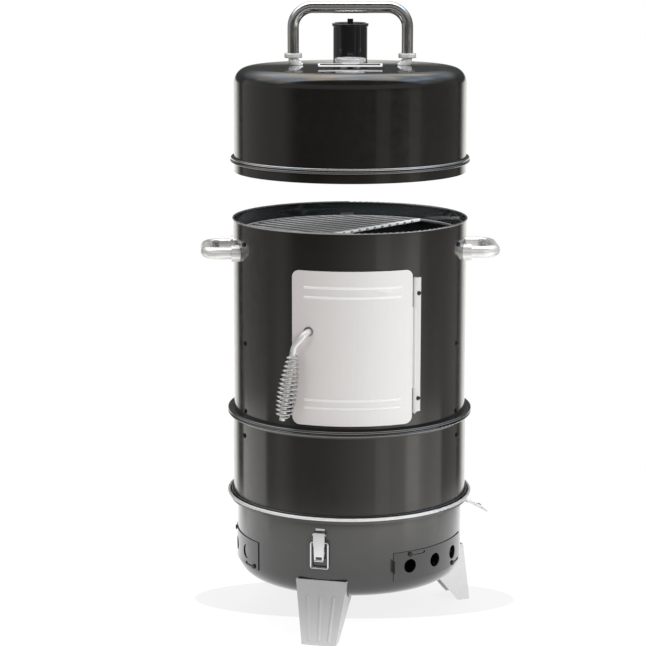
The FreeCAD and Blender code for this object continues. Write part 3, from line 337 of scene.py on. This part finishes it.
lower_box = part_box("lower_body")
lower_enamel = enamel("lower_body_enamel", BODY_DARK, BODY_LIGHT)
# Painted highlight on the top roll.
bead_highlight(lower_enamel, lower_box[1][2] - 0.008, lower_box[1][2] + 0.002,
            lower_box[1][0] - 0.0070, (0.17, 0.17, 0.17))
finish(lower_enamel, "lower_body")

lid_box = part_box("lid_shell")
lid_enamel = enamel("lid_enamel", BODY_DARK, BODY_LIGHT)
# Painted highlights on the lid's two beads.
bead_highlight(lid_enamel, lid_box[0][2] + 0.0155, lid_box[0][2] + 0.0208, lid_box[1][0] - 0.0055,
            (0.16, 0.16, 0.16))
bead_highlight(lid_enamel, lid_box[0][2] + 0.0208, lid_box[0][2] + 0.0260, lid_box[1][0] - 0.0055,
            (0.52, 0.52, 0.53))
finish(lid_enamel, "lid_shell")

BOWL_DARK = (0.0120, 0.0117, 0.0110)
BOWL_LIGHT = (0.0180, 0.0176, 0.0166)
damper_enamel = enamel("damper_enamel", BOWL_DARK, BOWL_LIGHT)
finish(damper_enamel, "damper_right", "damper_left", "damper_rear")

bowl_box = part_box("base_bowl")
bowl_enamel = enamel("bowl_enamel", BOWL_DARK, BOWL_LIGHT)
# The bowl's enamel is made lighter towards the top.
lighter_towards_top = bowl_enamel.spread(bowl_enamel.axis("Z"), 0.0, 1.0, bowl_box[0][2] + 0.035,
                           bowl_box[1][2], smooth=True)
change_finish_where(bowl_enamel, lighter_towards_top, (0.050, 0.049, 0.046))
bright_rim_band(bowl_enamel, bowl_box)
finish(bowl_enamel, "base_bowl")

stack = enamel("stack_enamel", (0.006, 0.006, 0.007), (0.010, 0.010, 0.011),
               low=0.05, high=0.12)
finish(stack, "smoke_stack", "stack_damper")

pan = enamel("pan_enamel", (0.008, 0.008, 0.009), (0.014, 0.014, 0.015), low=0.12, high=0.3)
finish(pan, "water_pan")

door_sheet = satin_sheet("door_sheet", (0.80, 0.795, 0.79), (0.83, 0.81, 0.80), 0.36, 0.42,
                         0.40, (1.0, 1.0, 0.12))
door_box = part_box("door")
# Painted shade: the door's latch side is made darker, with a warm tint.
latch_side_shade = door_sheet.spread(door_sheet.axis("X"), 0.8, 0.0, door_box[0][0],
                               door_box[1][0] * 0.3)
change_finish_where(door_sheet, latch_side_shade, (0.78, 0.725, 0.70))
# Painted highlight along the rib crests.
rib_crest_highlight(door_sheet, door_box)
finish(door_sheet, "door")

hinge_sheet = satin_sheet("hinge_sheet", (0.76, 0.76, 0.755), (0.79, 0.78, 0.77), 0.34, 0.46,
                          0.45, (1.0, 1.0, 0.04))
finish(hinge_sheet, "hinge_leaf", "hinge_pin")

leg_sheet = satin_sheet("leg_sheet", (0.66, 0.66, 0.665), (0.72, 0.715, 0.71), 0.32, 0.46, 0.5,
                        (1.0, 1.0, 0.25))
finish(leg_sheet, "leg_right", "leg_left")

# Painted shade: the front leg takes a darker copy of the legs' satin sheet.
shaded_front_leg_sheet = satin_sheet("shaded_front_leg_sheet", (0.485, 0.485, 0.49), (0.525, 0.52, 0.515),
                              0.34, 0.46, 0.45, (1.0, 1.0, 0.25))
# Painted reflection of the pale floor: the leg is made lighter towards its foot.
foot_reflection = shaded_front_leg_sheet.spread(shaded_front_leg_sheet.axis("Z"), 1.0, 0.0, 0.0, 0.075)
change_finish_where(shaded_front_leg_sheet, foot_reflection, (0.64, 0.64, 0.64))
finish(shaded_front_leg_sheet, "leg_front")

handle_steel = polished("handle_steel", (0.88, 0.87, 0.85), 0.12, 0.26, (1.0, 1.0, 0.2))
finish(handle_steel, "lid_handle")

satin_handle = satin_sheet("satin_handle", (0.92, 0.91, 0.90), (0.95, 0.94, 0.92), 0.20, 0.30, 0.58,
                           (1.0, 1.0, 0.3))
finish(satin_handle, "side_handle_left", "side_handle_right", "side_handle_collars",
       "lid_handle_collars", "lid_handle_feet", "latch_lever_right", "latch_bail_right")

rod_steel = satin_sheet("rod_steel", (0.78, 0.775, 0.77), (0.83, 0.82, 0.81), 0.26, 0.40, 0.55,
                        (1.0, 1.0, 0.3))
finish(rod_steel, "door_latch_rod")

latch_chrome = polished("latch_chrome", (0.84, 0.84, 0.85), 0.05, 0.16)
finish(latch_chrome, "latch_plates", "latch_pins", "latch_lever_front", "latch_lever_left",
       "latch_bail_front", "latch_bail_left")

coil_steel = polished("coil_steel", (0.80, 0.79, 0.78), 0.08, 0.22)
finish(coil_steel, "coil_grip")

grate_chrome = polished("grate_chrome", (0.32, 0.33, 0.33), 0.18, 0.34)
# Painted highlight: the upward-facing tops of the wires are made lighter.
change_finish_where(grate_chrome, grate_chrome.upward(0.55, 0.90), (0.74, 0.74, 0.73), -0.15)
across_bar = (-0.766, 0.643, 0.0)
bar_half = 0.0036
middle_bar = grate_chrome.between(grate_chrome.along(across_bar), -bar_half, bar_half)
change_finish_where(grate_chrome, middle_bar, (0.90, 0.91, 0.91), -0.35)
finish(grate_chrome, "upper_grate", "lower_grate")

bracket_steel = satin_sheet("bracket_steel", (0.42, 0.42, 0.43), (0.50, 0.49, 0.47), 0.35, 0.6, 0.9,
                            (1.0, 1.0, 1.0))
finish(bracket_steel, "charcoal_grate", "charcoal_brackets", "section_straps", "grate_brackets",
       "door_latch_tongue")

fastener_steel = polished("fastener_steel", (0.62, 0.62, 0.62), 0.18, 0.38)
finish(fastener_steel, "leg_bolts", "leg_nuts", "latch_rivets", "body_nuts", "side_handle_screws",
       "lid_handle_screws", "latch_washer", "stack_rivet", "thermometer_nut")

dark_screw = satin_sheet("dark_screw", (0.03, 0.03, 0.03), (0.05, 0.05, 0.05), 0.25, 0.45, 0.6,
                         (1.0, 1.0, 1.0))
finish(dark_screw, "hinge_screws", "damper_screws", "body_bolts")

plate_metal = edged_plate("plate_metal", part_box("front_plate"))
finish(plate_metal, "front_plate")

gauge_metal = satin_sheet("gauge_metal", (0.80, 0.81, 0.82), (0.85, 0.85, 0.86), 0.18, 0.30, 0.6,
                          (1.0, 1.0, 1.0))
finish(gauge_metal, "thermometer_case", "thermometer_spacer")

dial_face = satin_sheet("dial_face", (0.84, 0.84, 0.82), (0.88, 0.88, 0.86), 0.5, 0.6, 0.0,
                        (1.0, 1.0, 1.0))
finish(dial_face, "thermometer_dial")

needle_red = satin_sheet("needle_red", (0.50, 0.03, 0.02), (0.56, 0.04, 0.03), 0.35, 0.45, 0.0,
                         (1.0, 1.0, 1.0))
finish(needle_red, "thermometer_needle")

gauge_glass = Shader("gauge_glass", (1.0, 1.0, 1.0), 0.02, Transmission_Weight=1.0, IOR=1.45)
gauge_glass.roughness(gauge_glass.spread(gauge_glass.noise(80.0, 3.0), 0.0, 0.04))
finish(gauge_glass, "thermometer_glass")


# ---- pieces made here -----------------------------------------------------
def piece(name, verts, faces, shader, body, slot, smooth=True):
    """A new mesh with a finish, riding on a body."""
    mesh = bpy.data.meshes.new(name)
    mesh.from_pydata(verts, [], faces)
    mesh.update()
    made = bpy.data.objects.new(name, mesh)
    bpy.context.scene.collection.objects.link(made)
    if smooth:
        mesh.shade_smooth()
        mesh.set_sharp_from_angle(angle=math.radians(40.0))
    mesh.materials.append(shader.material)
    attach(made, body)
    return made


def main_axis(points):
    """Middle and direction of a long cloud of points, pointing down."""
    middle = sum(points, Vector()) / len(points)
    direction = Vector((0.0, 0.0, -1.0))
    for _ in range(30):
        pulled = Vector()
        for point in points:
            offset = point - middle
            pulled += offset * offset.dot(direction)
        direction = pulled.normalized()
    if direction.z > 0:
        direction.negate()
    return middle, direction


def tube(path, radius, sides=12):
    """A round wire along a list of points, closed at both ends."""
    verts = []
    faces = []
    normal = (path[1] - path[0]).orthogonal().normalized()
    for index, point in enumerate(path):
        ahead = path[min(index + 1, len(path) - 1)] - path[max(index - 1, 0)]
        ahead.normalize()
        normal = (normal - ahead * normal.dot(ahead)).normalized()
        side = ahead.cross(normal)
        for step in range(sides):
            angle = 2 * math.pi * step / sides
            verts.append(point + (normal * math.cos(angle) + side * math.sin(angle)) * radius)
    for index in range(len(path) - 1):
        first = index * sides
        for step in range(sides):
            after = (step + 1) % sides
            faces.append((first + step, first + after,
                          first + sides + after, first + sides + step))
    faces.append(tuple(reversed(range(sides))))
    last = (len(path) - 1) * sides
    faces.append(tuple(last + step for step in range(sides)))
    return verts, faces


def spring_grip():
    """The wound wire of the door latch's grip, as wide as the CAD barrel at every turn."""
    turns = 15
    wire = 0.00175
    steps = 30
    closing = 0.75
    points = [vertex.co.copy() for vertex in NODES["coil_grip"].data.vertices]
    middle, down = main_axis(points)
    along = [(point - middle).dot(down) for point in points]
    start = min(along)
    length = max(along) - start
    widths = [0.0] * turns
    narrow = 1.0
    for point, place in zip(points, along):
        width = (point - middle - down * place).length
        turn = min(turns - 1, int((place - start) / length * turns))
        widths[turn] = max(widths[turn], width)
        narrow = min(narrow, width)
    across = down.orthogonal().normalized()
    beside = down.cross(across)
    path = []
    total = turns * steps
    for index in range(total + 1):
        turn = index / steps
        before = min(turns - 1, max(0, int(turn - 0.5)))
        after = min(turns - 1, before + 1)
        blend = min(1.0, max(0.0, turn - 0.5 - before))
        width = widths[before] * (1 - blend) + widths[after] * blend - wire
        end = min(turn, turns - turn)
        if end < closing:
            share = end / closing
            share = share * share * (3 - 2 * share)
            width = (narrow + wire * 0.7) * (1 - share) + width * share
        angle = 2 * math.pi * turn
        place = start + wire + (length - 2 * wire) * index / total
        path.append(middle + down * place
                    + (across * math.cos(angle) + beside * math.sin(angle)) * width)
    made = piece("spring_grip", *tube(path, wire), coil_steel, "door_latch", "coil_steel")
    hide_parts("coil_grip")


def on_wall(node, reach, lowest=0.0):
    """Places of a node grouped by where they lie round and up the wall.

    Each group is its middle angle, half its width as an angle, its middle height and its places.
    """
    wall = 0.2
    groups = []
    for vertex in NODES[node].data.vertices:
        place = vertex.co.copy()
        if place.z < lowest:
            continue
        angle = math.atan2(place.x, -place.y)
        for group in groups:
            start, first = group[0]
            turn = (angle - start + math.pi) % (2 * math.pi) - math.pi
            if math.hypot(turn * wall, place.z - first.z) < reach:
                group.append((start + turn, place))
                break
        else:
            groups.append([(angle, place)])
    found = []
    for group in groups:
        angles = [angle for angle, _ in group]
        heights = [place.z for _, place in group]
        found.append(((min(angles) + max(angles)) / 2, (max(angles) - min(angles)) / 2,
                      (min(heights) + max(heights)) / 2, [place for _, place in group]))
    return found


def screw_slot_shade(name, node, body, slot, arm, shader):
    """Near-black crosses a hair proud of the heads of screws that point away from the middle of the
    smoker: painted shade standing for crossed slots.
    """
    screw_reach = 0.012
    proud = 0.00006
    deep = 0.0005
    thin = arm * 0.22
    ring = [(arm, thin), (thin, thin), (thin, arm), (-thin, arm), (-thin, thin), (-arm, thin),
            (-arm, -thin), (-thin, -thin), (-thin, -arm), (thin, -arm), (thin, -thin),
            (arm, -thin)]
    rise = Vector((0.0, 0.0, 1.0))
    verts = []
    faces = []
    for facing, _, height, places in on_wall(node, screw_reach):
        outward = Vector((math.sin(facing), -math.cos(facing), 0.0))
        centre = outward * (max(place.dot(outward) for place in places) + proud)
        centre.z = height
        level = outward.cross(rise)
        first = len(verts)
        for depth in (0.0, -deep):
            for u, v in ring:
                verts.append(centre + level * u + rise * v + outward * depth)
        count = len(ring)
        faces.append(tuple(first + k for k in range(count)))
        for k in range(count):
            after = (k + 1) % count
            faces.append((first + k, first + after, first + count + after, first + count + k))
    piece(name, verts, faces, shader, body, slot, smooth=False)


def dial_marks():
    """Ticks round the thermometer's dial, longer every fifth one."""
    low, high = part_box("thermometer_dial")
    centre = (Vector(low) + Vector(high)) / 2
    radius = (high[0] - low[0]) / 2
    outer = radius * 0.90
    top = high[2] + 0.00008
    bottom = top - 0.00005
    ticks = 41
    first_angle = 210.0
    between_ticks = 6.0
    verts = []
    faces = []
    for index in range(ticks):
        angle = math.radians(first_angle - between_ticks * index)
        out = Vector((math.cos(angle), math.sin(angle), 0.0))
        side = Vector((-out.y, out.x, 0.0))
        long_one = index % 5 == 0
        inner = radius * (0.70 if long_one else 0.80)
        half = 0.00035 if long_one else 0.00018
        first = len(verts)
        for height in (top, bottom):
            for reach, offset in ((inner, -half), (outer, -half), (outer, half), (inner, half)):
                place = centre + out * reach + side * offset
                verts.append(Vector((place.x, place.y, height)))
        faces.append((first, first + 1, first + 2, first + 3))
        for k in range(4):
            after = (k + 1) % 4
            faces.append((first + k, first + 4 + k, first + 4 + after, first + after))
    piece("dial_marks", verts, faces, dark_screw, "lid", "dark_screw", smooth=False)


def grate_stops():
    """Curved tabs on the wall above the upper grate's brackets that keep the grate from sliding."""
    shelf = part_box("grate_brackets")[1][2]
    gap = 0.0001
    thick = 0.0019
    tall = 0.0091
    bracket_reach = 0.05
    low = shelf + gap
    high = low + tall
    verts = []
    faces = []
    steps = 8
    for facing, half, _, places in on_wall("grate_brackets", bracket_reach, shelf - 0.001):
        outer = max(place.xy.length for place in places) - gap
        inner = outer - thick
        first = len(verts)
        for step in range(steps + 1):
            angle = facing - half + 2 * half * step / steps
            for radius, height in ((inner, low), (outer, low), (outer, high), (inner, high)):
                verts.append((radius * math.sin(angle), -radius * math.cos(angle), height))
        for step in range(steps):
            here = first + 4 * step
            for k in range(4):
                after = (k + 1) % 4
                faces.append((here + k, here + after, here + 4 + after, here + 4 + k))
        last = first + 4 * steps
        faces.append((first + 3, first + 2, first + 1, first))
        faces.append((last, last + 1, last + 2, last + 3))
    piece("grate_stops", verts, faces, bracket_steel, "stack", "bracket_steel", smooth=False)


# Painted shade: near-black enamel for the crosses on the screw heads.
slot_shade = enamel("slot_shade_black", (0.002, 0.002, 0.002), (0.004, 0.004, 0.004), coat=0.2,
                low=0.4, high=0.6)
spring_grip()
screw_slot_shade("body_bolt_slot_shade", "body_bolts", "stack", "dark_screw", 0.0022, slot_shade)
screw_slot_shade("hinge_screw_slot_shade", "hinge_screws", "stack", "dark_screw", 0.0019, slot_shade)
screw_slot_shade("damper_screw_slot_shade", "damper_screws", "base", "dark_screw", 0.0022, slot_shade)
dial_marks()
grate_stops()


# ---- stage ------------------------------------------------------------------
def area_light(name, place, target, size, energy, colour=(1.0, 1.0, 1.0)):
    data = bpy.data.lights.new(name, "AREA")
    data.shape = "RECTANGLE"
    data.size = size[0]
    data.size_y = size[1]
    data.energy = energy
    data.color = colour
    light = bpy.data.objects.new(name, data)
    bpy.context.scene.collection.objects.link(light)
    light.location = place
    direction = Vector(target) - Vector(place)
    light.rotation_euler = direction.to_track_quat("-Z", "Y").to_euler()
    light.visible_glossy = False


def build_floor():
    """A pale floor that fades into the pale surround far from the object, with a painted shadow: a
    slightly darker ellipse under the object.
    """
    rings = 24
    around = 96
    floor_radius = 4.2
    verts = [(0.0, 0.0, 0.0)]
    faces = []
    for ring in range(1, rings + 1):
        radius = floor_radius * ring / rings
        for step in range(around):
            angle = 2 * math.pi * step / around
            verts.append((radius * math.cos(angle), radius * math.sin(angle), 0.0))
    for step in range(around):
        faces.append((0, 1 + step, 1 + (step + 1) % around))
    for ring in range(1, rings):
        first = 1 + (ring - 1) * around
        second = 1 + ring * around
        for step in range(around):
            after = (step + 1) % around
            faces.append((first + step, second + step, second + after, first + after))
    mesh = bpy.data.meshes.new("floor")
    mesh.from_pydata(verts, [], faces)
    floor = bpy.data.objects.new("floor", mesh)
    bpy.context.scene.collection.objects.link(floor)
    shader = Shader("floor", (0.06, 0.06, 0.06), 0.7, Emission_Strength=1.0,
                    Specular_IOR_Level=0.1)
    # Painted shadow: inside an ellipse under the object the floor glows a little less.
    shadow_half_width = 0.29
    shadow_half_depth = 0.115
    shadow_patch = shader.node("ShaderNodeMapping")
    shadow_patch.inputs["Location"].default_value = (-0.034, -0.39, 0.0)
    shadow_patch.inputs["Scale"].default_value = (1 / shadow_half_width, 1 / shadow_half_depth, 1.0)
    shader.link(shader.place, shadow_patch.inputs["Vector"])
    near = shader.node("ShaderNodeVectorMath", operation="LENGTH")
    shader.link(shadow_patch.outputs["Vector"], near.inputs[0])
    outside_shadow = shader.spread(near.outputs["Value"], 0.0, 1.0, 0.985, 1.015)
    grain = shader.spread(shader.noise(3.0, 4.0), 0.0, 1.0)
    shader.colour(shader.mix(grain, (0.058, 0.058, 0.058), (0.062, 0.062, 0.062)))
    shader.link(shader.mix(outside_shadow, (0.835, 0.835, 0.835), (0.960, 0.960, 0.960)),
                shader.surface.inputs["Emission Color"])
    fade = shader.spread(shader.from_axis(), 1.0, 0.0, 0.60, 1.15, smooth=True)
    shader.link(fade, shader.surface.inputs["Alpha"])
    mesh.materials.append(shader.material)


def build_world():
    """Pale all round to the eye; gloss reflects soft panels at the sides, behind and above."""
    world = bpy.data.worlds.new("studio")
    bpy.context.scene.world = world
    world.use_nodes = True
    tree = world.node_tree
    nodes = tree.nodes
    links = tree.links
    nodes.clear()

    def math_node(operation, first, second=0.0):
        node = nodes.new("ShaderNodeMath")
        node.operation = operation
        for socket, value in zip(node.inputs, (first, second)):
            if isinstance(value, (int, float)):
                socket.default_value = value
            else:
                links.new(value, socket)
        return node.outputs[0]

    def step(value, low, high):
        """0 below low and 1 above high, in degrees; falls instead if low is the higher."""
        ranged = nodes.new("ShaderNodeMapRange")
        ranged.interpolation_type = "SMOOTHSTEP"
        links.new(value, ranged.inputs["Value"])
        first, last = sorted((low, high))
        ranged.inputs["From Min"].default_value = math.radians(first)
        ranged.inputs["From Max"].default_value = math.radians(last)
        ranged.inputs["To Min"].default_value = 0.0 if low < high else 1.0
        ranged.inputs["To Max"].default_value = 1.0 if low < high else 0.0
        return ranged.outputs["Result"]

    def panel(brightness, *steps):
        value = brightness
        for each in steps:
            value = math_node("MULTIPLY", each, value)
        return value

    coords = nodes.new("ShaderNodeTexCoord")
    split = nodes.new("ShaderNodeSeparateXYZ")
    links.new(coords.outputs["Generated"], split.inputs[0])
    toward_front = math_node("MULTIPLY", split.outputs["Y"], -1.0)
    azimuth = math_node("ARCTAN2", split.outputs["X"], toward_front)
    around = math_node("ABSOLUTE", azimuth)
    height = math_node("ARCSINE", split.outputs["Z"])

    rear = nodes.new("ShaderNodeMapRange")
    rear.interpolation_type = "SMOOTHSTEP"
    links.new(split.outputs["Y"], rear.inputs["Value"])
    rear.inputs["From Min"].default_value = -0.22
    rear.inputs["From Max"].default_value = -0.14
    over = rear.outputs["Result"]

    cloud = nodes.new("ShaderNodeTexNoise")
    cloud.inputs["Scale"].default_value = 3.4
    cloud.inputs["Detail"].default_value = 2.0
    links.new(coords.outputs["Generated"], cloud.inputs["Vector"])
    patchy = nodes.new("ShaderNodeMapRange")
    links.new(cloud.outputs["Fac"], patchy.inputs["Value"])
    patchy.inputs["From Min"].default_value = 0.35
    patchy.inputs["From Max"].default_value = 0.65
    patchy.inputs["To Min"].default_value = 1.4
    patchy.inputs["To Max"].default_value = 3.4
    cloudy = patchy.outputs["Result"]

    # Angles are in degrees: azimuth from the front, positive to the right, and height.
    panels = [
        # Low wall behind, which lights the edges of the round walls.
        panel(1.0, step(around, 137, 155), step(height, 4, -1)),
        # Broad sides, left and right, and the right one again nearer the floor.
        panel(0.20, step(azimuth, -136, -128), step(azimuth, -50, -72), step(height, 24, 12)),
        panel(0.08, step(azimuth, 44, 64), step(azimuth, 138, 126), step(height, 24, 12)),
        panel(0.14, step(azimuth, 44, 64), step(azimuth, 138, 126), step(height, -5.5, -10.5)),
        # Front, near the floor.
        panel(0.17, step(azimuth, -86, -70), step(azimuth, 62, 46), step(height, -6.5, -12)),
        # Bright streaks in the lower section, left and right, and a slow rise to the right.
        panel(0.75, step(azimuth, -132, -127), step(azimuth, -87, -93),
              step(height, -12.4, -13.4)),
        panel(0.60, step(azimuth, 54, 60), step(azimuth, 106, 99), step(height, -12.4, -13.4)),
        panel(0.45, step(azimuth, -34, 56), step(azimuth, 84, 66), step(height, -6.8, -9.2)),
        # Patchy sky behind and above, and a softer one in front.
        panel(cloudy, over, step(height, 14, 70)),
        panel(0.22, step(around, 84, 70), step(height, 9, 16), step(height, 46, 36)),
        # Two narrow streaks to the right that join near the floor.
        panel(0.12, step(azimuth, 24, 27), step(azimuth, 41, 38), step(height, 16, 4)),
        panel(0.12, step(azimuth, 58, 61), step(azimuth, 74, 71), step(height, 16, 4)),
        panel(0.14, step(azimuth, 24, 27), step(azimuth, 74, 71), step(height, -6, -10)),
        # Faint horizon behind, and a high window to the left.
        panel(0.03, over, step(height, 0, 12)),
        panel(0.30, step(azimuth, -150, -120), step(azimuth, -60, -84), step(height, 24, 34),
              step(height, 62, 48)),
    ]
    everywhere = 0.045
    light = math_node("ADD", panels[0], everywhere)
    for each in panels[1:]:
        light = math_node("ADD", light, each)

    tint = nodes.new("ShaderNodeMix")
    tint.data_type = "RGBA"
    links.new(step(height, -4, 24), tint.inputs["Factor"])
    tint.inputs[6].default_value = (1.0, 0.985, 0.935, 1.0)
    tint.inputs[7].default_value = (0.90, 0.95, 1.0, 1.0)
    hue = nodes.new("ShaderNodeTexNoise")
    hue.inputs["Scale"].default_value = 2.3
    hue.inputs["Detail"].default_value = 1.0
    links.new(coords.outputs["Generated"], hue.inputs["Vector"])
    warm_cloud = nodes.new("ShaderNodeMapRange")
    links.new(hue.outputs["Fac"], warm_cloud.inputs["Value"])
    warm_cloud.inputs["From Min"].default_value = 0.44
    warm_cloud.inputs["From Max"].default_value = 0.56
    sky = nodes.new("ShaderNodeMix")
    sky.data_type = "RGBA"
    links.new(warm_cloud.outputs["Result"], sky.inputs["Factor"])
    sky.inputs[6].default_value = (0.62, 0.78, 1.0, 1.0)
    sky.inputs[7].default_value = (1.0, 0.88, 0.74, 1.0)
    coloured = nodes.new("ShaderNodeMix")
    coloured.data_type = "RGBA"
    links.new(step(height, 24, 45), coloured.inputs["Factor"])
    links.new(tint.outputs[2], coloured.inputs[6])
    links.new(sky.outputs[2], coloured.inputs[7])
    lit = nodes.new("ShaderNodeBackground")
    links.new(coloured.outputs[2], lit.inputs["Color"])
    links.new(light, lit.inputs["Strength"])
    seen = nodes.new("ShaderNodeBackground")
    seen.inputs["Color"].default_value = (1.0, 1.0, 1.0, 1.0)
    seen.inputs["Strength"].default_value = 1.0
    path = nodes.new("ShaderNodeLightPath")
    mix = nodes.new("ShaderNodeMixShader")
    links.new(path.outputs["Is Camera Ray"], mix.inputs[0])
    links.new(lit.outputs[0], mix.inputs[1])
    links.new(seen.outputs[0], mix.inputs[2])
    out = nodes.new("ShaderNodeOutputWorld")
    links.new(mix.outputs[0], out.inputs["Surface"])


build_floor()
build_world()
area_light("key", (2.1, -2.9, 2.2), (0.0, 0.0, 0.45), (1.8, 1.8), 150.0)
area_light("fill", (-2.4, -2.4, 1.8), (0.0, 0.0, 0.4), (1.6, 1.6), 34.0)
area_light("back", (0.4, 2.6, 2.6), (0.0, 0.0, 0.5), (2.0, 1.4), 50.0)
